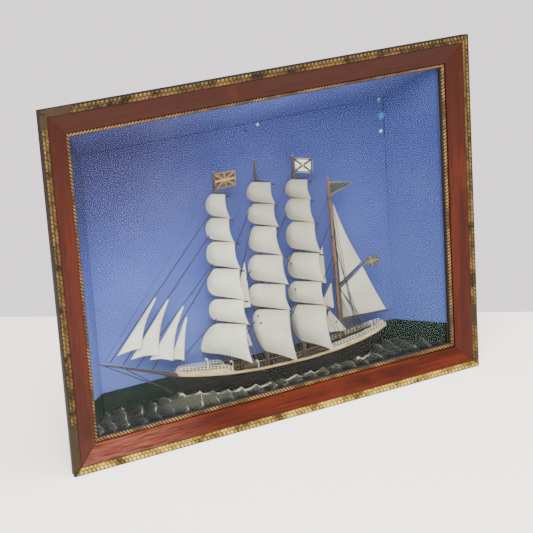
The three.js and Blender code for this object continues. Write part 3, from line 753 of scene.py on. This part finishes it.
cream, places, facing = finish("cream_paint", Roughness=0.5)
mottling = places.noise(60, 4, 0.6)
yellowed = mottling.step(0.35, 0.75).tint(colour(178, 166, 136), colour(128, 110, 78))
yellowed = (places.noise(330, 2) > 0.66).tint(yellowed, colour(104, 84, 56))
inner = (axis(places, "Y") - SHIP_Y) * axis(facing, "Y") < 0
inner.tint(yellowed, mottling.tint(colour(26, 20, 16), colour(50, 40, 31))).feeds("Base Color")
mottling.bump(0.0003, 0.4).feeds("Normal")
dress(cream, "ship_bulwark")

capping = Shape()
rails = Shape()
for side, edge in WALL_TOPS.items():
    capping.rod([p + Vector((0, -side * 0.5 * MM, 0.1 * MM)) for p in edge], 0.75 * MM, sides=6)
    for first, last, height in RAILINGS:
        count = round((last - first) / POST_PITCH)
        stands = [along_edge(edge, first + (last - first) * n / count) for n in range(count + 1)]
        stands = [p + Vector((0, -side * 0.5 * MM, 0)) for p in stands]
        for stand in stands:
            rails.turning(stand, UP, [
                (0, 0.8 * MM), (height * 0.2, 0.55 * MM), (height * 0.45, 0.85 * MM),
                (height * 0.7, 0.55 * MM), (height, 0.7 * MM),
            ], sides=6)
        for share in (0.5, 1):
            rails.rod([p + Vector((0, 0, height * share)) for p in stands], 0.45 * MM, sides=6)
capping.piece("bulwark_capping", ochre)
rail_white, _ = mottled_finish(
    "rail_white", 200, colour(170, 162, 144), colour(206, 200, 184), Roughness=0.55,
)
rails.piece("deck_railings", rail_white)


# ---- deck fittings ----
# Small turned and carved pieces pegged to the deck: cowl ventilators, hatches and skylights with
# crowned covers, a capstan, pairs of bitts and three boats keel-down.
VENTS = ((-98, -2, 24), (-58, -5, 17), (-15, -6, 12), (190, -4, 18))
COVERS = (
    (-112, 9, 7, 2.2), (-82, 11, 9, 3.0), (30, 15, 9, 3), (98, 12, 8, 3), (112, 9, 8, 5),
    (158, 14, 9, 5), (182, 8, 6, 6),
)
BITTS = (-132, -126, -48, 16, 84, 148)
CAPSTAN = -120
BOATS = ((52, -6.5, 2.2), (52, 6.5, 2.2), (-30, -0.5, 9.5))


def deck_at(x, out=0):
    """The point of the deck at x, out towards the far side of the ship's middle."""
    return hull_solid.ray_cast(Vector((x * MM, SHIP_Y + out * MM, 0.2)), -UP)[0]


vents = Shape()
for x, out, tall in VENTS:
    foot = deck_at(x, out)
    neck = [foot + UP * (tall * MM * share) for share in (-0.05, 0.4, 0.72)]
    mouth = [foot + Vector((-dx * MM, 0, tall * MM - dz * MM)) for dx, dz in (
        (0.1, 2.6), (0.7, 1.1), (1.9, 0.3), (3.2, 0.1),
    )]
    vents.rod(neck + mouth, [r * MM for r in (1.2, 0.9, 0.9, 0.95, 1.15, 1.6, 2.1)], sides=10)
vents.piece("cowl_ventilators", rail_white)


def plank_box(shape, middle, long, wide, high, crown=0.25):
    """A small built box whose top is crowned and whose edges are eased."""
    rings = []
    for lift, shrink in (
        (0, 0), (0.8, 0), (1, 0.12), (1 + crown * 0.5, 0.45), (1 + crown * 0.6, 0.8),
    ):
        half_long, half_wide = long / 2 - shrink * wide * 0.4, wide / 2 * (1 - shrink)
        ease = min(half_long, half_wide) * 0.15
        base = middle + UP * high * lift
        rings.append([base + Vector(c + (0,)) for c in (
            (-half_long, -half_wide + ease), (-half_long + ease, -half_wide),
            (half_long - ease, -half_wide), (half_long, -half_wide + ease),
            (half_long, half_wide - ease), (half_long - ease, half_wide),
            (-half_long + ease, half_wide), (-half_long, half_wide - ease),
        )])
    shape.skin(rings)


brown_varnish, places, _ = finish("brown_varnish", Roughness=0.4, Coat_Weight=0.2)
grain = places.vector("MULTIPLY", (90, 400, 400)).noise(1.4, 4, 0.6)
grain.tint(colour(42, 28, 18), colour(88, 60, 36)).feeds("Base Color")
grain.bump(0.0002, 0.5).feeds("Normal")

dress(brown_varnish, "deck_house")
joinery = Shape()
for x, long, wide, high in COVERS:
    plank_box(joinery, deck_at(x), long * MM, wide * MM, high * MM)
for x in BITTS:
    for out in (-4.5, 4.5):
        joinery.turning(deck_at(x, out), UP, [
            (-0.3 * MM, 0.9 * MM), (2 * MM, 0.8 * MM), (2.3 * MM, 1.2 * MM), (3.4 * MM, 1.1 * MM),
        ], sides=8)
joinery.turning(deck_at(CAPSTAN), UP, [
    (-0.3 * MM, 2.6 * MM), (0.8 * MM, 2.4 * MM), (1.6 * MM, 1.4 * MM), (4 * MM, 1.3 * MM),
    (4.8 * MM, 2.5 * MM), (6 * MM, 2.4 * MM), (6.5 * MM, 1 * MM),
], sides=14)
joinery.piece("hatches_and_capstan", brown_varnish)

boats = Shape()
for x, out, lift in BOATS:
    base = deck_at(x, out) + UP * lift * MM
    rings = []
    for n in range(9):
        along = n / 4 - 1
        beam = 2.9 * math.sqrt(max(0.03, 1 - along ** 2 * 0.96))
        sheer = 0.9 * along ** 2
        rings.append([base + Vector((along * 10, o * beam, z + sheer)) * MM for o, z in (
            (-1, 3), (-0.92, 1.6), (-0.5, 0.4), (0, 0), (0.5, 0.4), (0.92, 1.6), (1, 3),
            (0.86, 3), (0.4, 1.7), (-0.4, 1.7), (-0.86, 3),
        )])
    boats.skin(rings)
boats.piece("deck_boats", brown_varnish)


# ---- masts, yards and bowsprit ----
# Turned and tapered pine, varnished red-brown. Each lower mast carries a half-round top and each
# topmast a pair of crosstrees. Iron bands grip the poles, an iron jackstay lies on each yard to
# hold its sail, and a gilt truck caps each mast.
SQUARE = ("fore", "main", "mizzen")
MASTS = (*SQUARE, "jigger")
SPARS = (*(f"{mast}_mast" for mast in MASTS), "bowsprit", "spanker_gaff", "spanker_boom")
LEVELS = (
    "royal", "upper_topgallant", "lower_topgallant", "upper_topsail", "lower_topsail", "course",
)
HEAD_TO_YARD = 1.6 * MM

spar_varnish, places, _ = finish("spar_varnish", Coat_Weight=0.15, Coat_Roughness=0.3)
fibres = places.vector("MULTIPLY", (300, 300, 45)).noise(1.2, 4, 0.6)
tone = fibres.step(0.3, 0.75).tint(colour(64, 33, 18), colour(116, 70, 38))
x, z = axis(places, "X"), axis(places, "Z")
# Painted shade: above the highest sails the spars turn much darker.
stain_and_painted_light = (z.step(0.33, 0.36) * 0.85).tint(tone, colour(30, 12, 9))
square_rigged = (x > -0.08) * (x < 0.1)
from_middle = (axis(places, "Y") - SHIP_Y).math("ABSOLUTE")
# Painted shade: the poles of the three square-rigged masts, below their heads, are darkened where
# the sails shade them.
shaded_poles = square_rigged * (1 - z.step(0.33, 0.345)) * (1 - from_middle.step(0.006, 0.014))
stain_and_painted_light = (shaded_poles * 0.8).tint(stain_and_painted_light, colour(38, 27, 21))
fore_and_aft = (1 - square_rigged) * (1 - (x > 0.1) * (x < 0.1345))
(fore_and_aft * 0.85).tint(stain_and_painted_light, colour(30, 22, 14)).feeds("Base Color")
(0.42 + 0.2 * fibres).feeds("Roughness")
fibres.bump(0.0003, 0.6).feeds("Normal")
dress(spar_varnish, *SPARS)
for name in SPARS:
    smooth_but_for(nodes[name].data, 50)


def mast_points(mast, height, reach):
    """The points of a mast and its yards that lie within reach of a height."""
    return [v.co for v in nodes[f"{mast}_mast"].data.vertices if abs(v.co.z - height) < reach]


mast_axes = {}
for mast in MASTS:
    low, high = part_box(f"{mast}_mast")
    truck = mast_points(mast, high.z, 0.5 * MM)
    heel = mast_points(mast, low.z, 0.5 * MM)
    mast_axes[mast] = [
        sum((p for p in points), Vector()) / len(points) for points in (heel, truck)
    ]


def on_mast(mast, height):
    """The point of a mast's middle line at a height in millimetres."""
    heel, truck = mast_axes[mast]
    return heel.lerp(truck, (height * MM - heel.z) / (truck.z - heel.z))


yardarms = {}
for mast in SQUARE:
    for level in LEVELS:
        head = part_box(f"{mast}_{level}")[1].z
        close = sorted(mast_points(mast, head - HEAD_TO_YARD, 3 * MM), key=lambda p: p.y)
        yardarms[mast, level] = close[0].copy(), close[-1].copy()

jackstays = Shape()
for near, far in yardarms.values():
    along = (far - near).normalized()
    raised = Vector((0.4, 0.4, 1.9)) * MM
    jackstays.rod([near + along * 4 * MM + raised, far - along * 3 * MM + raised], 1.3 * MM)
tops = Shape()
bands = Shape()
trucks = Shape()
for mast in MASTS:
    if mast in SQUARE:
        low_top, cross = 152, 276
        turns = [math.radians(degrees) for degrees in range(-100, 101, 20)]
        rim = [(math.cos(t) * 7, math.sin(t) * 8) for t in turns]
    else:
        low_top, cross = 176, 236
        rim = [(-3, -5), (3, -5), (3, 5), (-3, 5)]
    middle = on_mast(mast, low_top)
    rim = [middle + Vector((dx, dy, 0)) * MM for dx, dy in rim]
    tops.skin([[p + UP * lift * MM for p in rim] for lift in (-0.6, 0.6)])
    for shift in (-2.6, 2.6):
        spreader = on_mast(mast, cross) + Vector((shift * MM, 0, 0))
        tops.rod([spreader + Vector((0, o * MM, 0)) for o in (-6, 6)], 0.55 * MM, sides=6)
    for height in (96, 120, low_top - 8, low_top + 8, 200, 244, cross + 6):
        centre = on_mast(mast, height)
        bands.turning(centre, UP, [(rise * MM, radius * MM) for rise, radius in (
            (-0.9, 2.7), (-0.7, 2.95), (0.7, 2.95), (0.9, 2.7),
        )])
    trucks.ball(mast_axes[mast][1] + UP * 0.4 * MM, (1.1 * MM, 1.7 * MM))
for (mast, level), ends in yardarms.items():
    for end in ends:
        inward = (on_mast(mast, end.z / MM) - end).normalized()
        bands.rod([end - inward * 3 * MM, end + inward * 2 * MM], [0.9 * MM, 1.25 * MM])
tops.piece("tops_and_crosstrees", brown_varnish)
iron, places = mottled_finish(
    "blackened_iron", 300, colour(22, 18, 18), colour(48, 38, 30), Metallic=0.4,
)
(0.45 + 0.2 * places.noise(90, 2)).feeds("Roughness")
bands.piece("mast_and_yard_bands", iron)
jackstays.piece("yard_jackstays", iron)
truck_gilt, _ = mottled_finish(
    "truck_gilt", 500, colour(120, 86, 40), colour(190, 146, 74), 2, Metallic=0.6, Roughness=0.4,
)
trucks.piece("mast_trucks", truck_gilt)


# ---- sails ----
# Thin wood, carved hollow as if full of wind and painted a matt white that has aged cream. A
# fine tan cord is glued along each edge for the bolt rope.
CLOTH_WIDE = 7.5 * MM
SHARP_EDGE = math.radians(50)
HEADSAILS = ("flying_jib", "outer_jib", "inner_jib", "fore_topmast_staysail")
sail_names = [f"{mast}_{level}" for mast in SQUARE for level in LEVELS]
sail_names += [*HEADSAILS, "spanker_sail", "gaff_topsail"]

sail_white, places, _ = finish("sail_white", Roughness=0.8, Specular_IOR_Level=0.25)
mottled = places.noise(26, 4, 0.6)
weave = places.noise(520, 2)
mottling = (mottled * 0.8 + weave * 0.2).step(0.25, 0.8)
mottling = mottling.tint(colour(212, 205, 191), colour(184, 175, 159))
cloths = (axis(places, "X") + axis(places, "Y") * 0.9) / CLOTH_WIDE
seam = cloths.math("FRACT") < 0.05
mottling = (seam * 0.16).tint(mottling, colour(150, 140, 118))
# Painted shade: the sails turn greyer towards the top of the case, and darker on the after masts.
mottling = (axis(places, "Z").step(0.2, 0.36) * 0.6).tint(mottling, colour(122, 115, 103))
mottling = (axis(places, "X").step(-0.06, 0.05) * 0.45).tint(mottling, colour(118, 108, 92))
(places.noise(210, 2) > 0.72).tint(mottling, colour(164, 150, 120)).feeds("Base Color")
(weave * 0.6 + seam * 0.5).bump(0.0003, 0.5).feeds("Normal")
dress(sail_white, *sail_names)
bolt_ropes = Shape()
for name in sail_names:
    mesh = nodes[name].data
    smooth_but_for(mesh, 50)
    places_of = [tuple(round(part / MM, 2) for part in v.co) for v in mesh.vertices]
    sides_of = {}
    for polygon in mesh.polygons:
        for key in polygon.edge_keys:
            ends = tuple(sorted(places_of[i] for i in key))
            sides_of.setdefault(ends, []).append(polygon.normal)
    for ends, normals in sides_of.items():
        first, last = (Vector(end) * MM for end in ends)
        sharp = len(normals) == 2 and normals[0].angle(normals[1], 0) > SHARP_EDGE
        if sharp and (first - last).length > 1.2 * MM:
            bolt_ropes.rod([first, last], 0.3 * MM, sides=5)
tan_rope, _ = mottled_finish(
    "tan_rope", 400, colour(122, 100, 74), colour(176, 158, 128), 2, Roughness=0.8,
)
bolt_ropes.piece("bolt_ropes", tan_rope)


# ---- staysails between the masts ----
# Small three-cornered sails of the same thin painted wood, set on the stays behind the square
# sails, so that only their after edges show.
# Each row holds its peak, tack and clew in millimetres, and how far it stands towards the glass.
STAYSAILS = (
    ((-23, 236), (-48, 166), (-18, 164), -1), ((-27, 131), (-45, 102), (-20, 104), -1),
    ((36, 133), (22, 100), (48, 104), -1), ((112, 232), (86, 176), (115, 171), -1),
    ((124, 171), (98, 132), (126.5, 131), -1), ((114, 131), (100, 97), (144, 92), 5),
)


def at(x, z, out=0):
    """A point in the ship's middle plane, or out millimetres towards the glass from it."""
    return Vector((x * MM, SHIP_Y - out * MM, z * MM))


staysails = Shape()
for *corners, out in STAYSAILS:
    peak, tack, clew = (at(*corner, out) for corner in corners)
    rings = []
    for i in range(9):
        down = 0.03 + 0.97 * i / 8
        row = []
        for j in range(7):
            share = j / 6
            point = peak.lerp(tack.lerp(clew, share), down)
            belly = 2.6 * MM * math.sin(math.pi * share) * math.sin(math.pi * min(1, down * 0.9))
            row.append(point + Vector((0, -belly, belly * 0.8 * down)))
        rings.append(row + [p + Vector((0, 0.6 * MM, 0)) for p in reversed(row)])
    staysails.skin(rings)
staysails.piece("staysails", sail_white)


# ---- rigging ----
# The stays are tarred thread, almost black, stretched tight between their ends. Shrouds, ratlines,
# backstays and braces are thinner brown thread. The blocks are turned hardwood tied into them.
tarred, places = mottled_finish(
    "tarred_thread", 500, colour(12, 11, 18), colour(30, 28, 38), 2, Roughness=0.65,
)
(axis(places, "Z") * 2600).math("SINE").bump(0.0001, 0.5).feeds("Normal")
dress(tarred, *(f"{mast}_rigging" for mast in MASTS))

STAYS = (
    ((-254, 131.5), (-66, 328)), ((-233.5, 124), (-66, 300)), ((-213, 114.6), (-65.5, 253)),
    ((-187.4, 106), (-65.5, 250)), ((-157.5, 97), (-65, 168)), ((-262, 128), (-160, 66)),
    ((-238, 122), (-158, 62)), ((4, 335), (-63, 215)), ((3.5, 320), (-45, 178)),
    ((4, 246), (-63, 150)), ((3, 160), (-63, 82)), ((68.5, 325), (5, 205)), ((68, 246), (5, 150)),
    ((68, 160), (5, 76)), ((130, 268), (73, 170)), ((131, 214), (74, 120)),
)
# How high each backstay starts, and how far behind its mast it lands.
JIGGER_BACKSTAYS = ((292, 20), (246, 26), (236, 32), (170, 37), (168, 43), (165, 49))
BACKSTAYS = ((172, 44), (196, 50), (234, 58), (240, 64), (270, 30), (330, 36))
SHROUDS = 6
SHROUD_PITCH = 5.2
RATLINES = 12
stays = Shape()
for lower, upper in STAYS:
    stays.rod([at(*lower), at(*upper)], 0.75 * MM, sides=6)
for height, landing in JIGGER_BACKSTAYS:
    for edge in WALL_TOPS.values():
        foot = along_edge(edge, mast_axes["jigger"][0].x + landing * MM)
        stays.rod([on_mast("jigger", height), foot], 0.5 * MM, sides=5)
stays.piece("stays", tarred)

brown_thread, _ = mottled_finish(
    "brown_thread", 420, colour(52, 38, 32), colour(98, 78, 62), 2, Roughness=0.75,
)
shrouds = Shape()
for mast in MASTS:
    for edge in WALL_TOPS.values():
        hounds = on_mast(mast, 150 if mast in SQUARE else 160)
        feet = [
            along_edge(edge, hounds.x + (2 + SHROUD_PITCH * n) * MM) for n in range(SHROUDS)
        ]
        for foot in feet:
            shrouds.rod([hounds, foot], 0.36 * MM, sides=5)
        for n in range(1, RATLINES + 1):
            line = [foot.lerp(hounds, n / (RATLINES + 2)) for foot in feet]
            shrouds.rod(line, 0.16 * MM, sides=4)
        if mast in SQUARE:
            for height, landing in BACKSTAYS:
                foot = along_edge(edge, hounds.x + landing * MM)
                shrouds.rod([on_mast(mast, height), foot], 0.34 * MM, sides=5)
after = {"fore": "main", "main": "mizzen", "mizzen": "jigger"}
for (mast, level), (near, far) in yardarms.items():
    drop = 50 if level == "course" else 34
    lead = on_mast(after[mast], max(92, near.z / MM - drop))
    for end in (near, far):
        shrouds.rod([end, end.lerp(lead, 0.5) - UP * 0.8 * MM, lead], 0.2 * MM, sides=5)
shrouds.piece("shrouds_and_braces", brown_thread)

BLOCKS = (
    (-156, 232.5, 0), (-138.6, 219.6, 0), (-113, 205, 0), (-112, 191, 0), (-28, 287, 0),
    (-29, 262, 0), (46, 303, 0), (38, 270, 0), (4, 215.7, 12), (48, 220.3, 12),
    (52.7, 179.2, 12), (121.7, 112.5, 12), (-10, 140, 13), (-14, 152, 13), (60, 132, 13),
)
blocks = Shape()
for x, z, out in BLOCKS:
    blocks.ball(at(x, z, out), (2.1 * MM, 1.45 * MM), up=Vector((0.5, 0, 1)))
for near, _ in yardarms.values():
    slung = near + Vector((1.4, -0.5, -0.8)) * MM
    blocks.ball(slung, (1.5 * MM, 0.95 * MM), up=Vector((1, -0.5, -0.3)))
blocks.piece("rigging_blocks", brown_varnish)


# ---- flags ----
# Four little flags cut from stiff card, bent to a wave and painted on both sides, glued by one
# edge to the mastheads and to the peak of the gaff. Their patterns are crosses and borders.
DARK, OCHRE, PALE = 0.0, 0.5, 1.0
CARD_THICK = 0.4 * MM
FLAG_WAVE = 1.2 * MM
FLAG_STEPS = (36, 26)


def saltire(u, v):
    if abs(v) < 0.09:
        return PALE
    edged = max(abs(u), abs(v)) > 0.9 or abs(u) < 0.07
    return OCHRE if abs(abs(u) - abs(v)) < 0.17 or edged else DARK


def house_flag(u, v):
    if math.hypot(u * 1.2, v) < 0.2:
        return OCHRE
    if abs(abs(u) - abs(v)) < 0.17 or 0.8 < max(abs(u), abs(v)) < 0.96:
        return DARK
    return PALE


def ensign_cross(u, v):
    return OCHRE if min(abs(u), abs(v)) < 0.11 or abs(abs(u) - abs(v)) < 0.05 else DARK


def bordered(u, v):
    return OCHRE if max(abs(v), u) > 0.84 or u < -0.9 else DARK


# Each flag's two upper corners, its two lower ones, with the glued edge first, and its pattern.
FLAGS = (
    ("fore_flag", at(-64, 376), at(-30, 376), at(-61.5, 352), at(-29, 354), saltire),
    ("mizzen_flag", at(69.5, 376), at(102, 370), at(70, 354), at(101, 348), house_flag),
    ("jigger_pennant", at(128.5, 329), at(170, 321.5), at(129.5, 306), at(167, 319.5), bordered),
    ("ensign", at(183, 195), at(207, 201.5), at(188, 182), at(212, 182), ensign_cross),
)
CARD_COLOURS = {
    "fore_flag": (colour(22, 12, 9), colour(126, 84, 34), colour(156, 134, 82)),
    "mizzen_flag": (colour(18, 18, 24), colour(150, 116, 56), colour(190, 192, 184)),
    "jigger_pennant": (colour(22, 32, 30), colour(112, 84, 38), colour(190, 170, 120)),
    "ensign": (colour(34, 38, 52), colour(128, 100, 52), colour(190, 170, 120)),
}
for name, top_inner, top_outer, low_inner, low_outer, pattern in FLAGS:
    card, places, _ = finish(f"{name}_paint", Roughness=0.65)
    dark, ochre_tone, pale = CARD_COLOURS[name]
    mark = places.marked()
    painted = mark.node("ValToRGB", {"stops": [
        (0.2, dark), (0.32, ochre_tone), (0.68, ochre_tone), (0.8, pale),
    ]}, {0: mark})
    # Dirt darkens the card in patches.
    darkening = places.noise(150, 3).step(0.45, 0.8) * 0.35
    darkening.tint(painted, colour(52, 42, 30)).feeds("Base Color")
    places.noise(400, 2).bump(0.0002, 0.5).feeds("Normal")
    flag = Shape()
    rings, marks = [], []
    for i in range(FLAG_STEPS[0] + 1):
        share = i / FLAG_STEPS[0]
        ring, ring_marks = [], []
        for j in range(FLAG_STEPS[1] + 1):
            down = j / FLAG_STEPS[1]
            point = top_inner.lerp(top_outer, share).lerp(low_inner.lerp(low_outer, share), down)
            wave = FLAG_WAVE * math.sin(math.pi * 1.6 * share + 0.4)
            ring.append(point + Vector((0, wave, 0)))
            ring_marks.append(pattern(2 * share - 1, 2 * down - 1))
        back = [p + Vector((0, CARD_THICK, 0)) for p in reversed(ring)]
        rings.append(ring + back)
        marks += ring_marks + ring_marks[::-1]
    flag.skin(rings, marks)
    flag.piece(name, card)


# ---- hangers ----
# Two steel plates on the back, each with a rolled barrel, a screw and a ring that turns in the
# barrel. The steel has dulled and spotted with age.
hanger_steel, places, _ = finish("hanger_steel", Metallic=0.85)
spotted = places.noise(240, 4, 0.6)
steel = spotted.step(0.3, 0.7).tint(colour(150, 142, 128), colour(104, 94, 80))
(places.noise(120, 3).step(0.56, 0.7) * 0.7).tint(steel, colour(96, 62, 40)).feeds("Base Color")
(0.32 + 0.3 * spotted).feeds("Roughness")
spotted.bump(0.0001, 0.6).feeds("Normal")
for side in ("left", "right"):
    for kind in ("plate", "ring", "screw"):
        dress(hanger_steel, f"hanger_{kind}_{side}")
        smooth_but_for(nodes[f"hanger_{kind}_{side}"].data, 40)


# ---- shelf and light ----
# The case stands on a plain white shelf that ends behind it. A window on the left and a ceiling
# lamp light it softly, and the pale room fills the shadows.
SHELF_EDGE = (Vector((-6, 5.47, 0)), Vector((6, -4.33, 0)))
SHELF_AWAY = Vector((-0.633, -0.774, 0))
SHELF_REACH = 12

shelf_mesh = bpy.data.meshes.new("shelf")
away = SHELF_AWAY * SHELF_REACH
corners = [*SHELF_EDGE, SHELF_EDGE[1] + away, SHELF_EDGE[0] + away]
shelf_mesh.from_pydata([tuple(c) for c in corners], [], [(3, 2, 1, 0)])
shelf = bpy.data.objects.new("shelf", shelf_mesh)
bpy.context.scene.collection.objects.link(shelf)
# The shelf also glows a little: painted light that brightens it and throws light back onto the
# case.
white, _ = mottled_finish(
    "glowing_shelf", 2.5, colour(243, 239, 233), colour(248, 244, 238), Roughness=0.6,
    Specular_IOR_Level=0.3, Emission_Color=colour(255, 247, 236), Emission_Strength=1.0,
)
shelf_mesh.materials.append(white)

# The name, place, width in metres and power in watts of each light.
LIGHTS = (
    ("window", Vector((-1.4, -2.2, 2.4)), 1.6, 245),
    ("ceiling", Vector((0.6, -1.0, 2.8)), 2.2, 125),
)
for name, place, size, power in LIGHTS:
    lamp = bpy.data.lights.new(name, "AREA")
    lamp.size = size
    lamp.energy = power
    light = bpy.data.objects.new(name, lamp)
    light.location = place
    light.rotation_euler = (CASE_MIDDLE - place).to_track_quat("-Z", "Y").to_euler()
    bpy.context.scene.collection.objects.link(light)
room = bpy.data.worlds.new("room")
room.use_nodes = True
sky_nodes = Socket(room.node_tree)
glow = sky_nodes.node("Background", {}, {"Color": colour(206, 205, 208), "Strength": 0.62})
wall = sky_nodes.node("Background", {}, {"Color": colour(216, 209, 211), "Strength": 2.3})
seen = sky_nodes.node("LightPath", out="Is Camera Ray")
both = sky_nodes.node("MixShader", {}, {0: seen, 1: glow, 2: wall})
room.node_tree.links.new(both.socket, room.node_tree.nodes["World Output"].inputs["Surface"])
bpy.context.scene.world = room
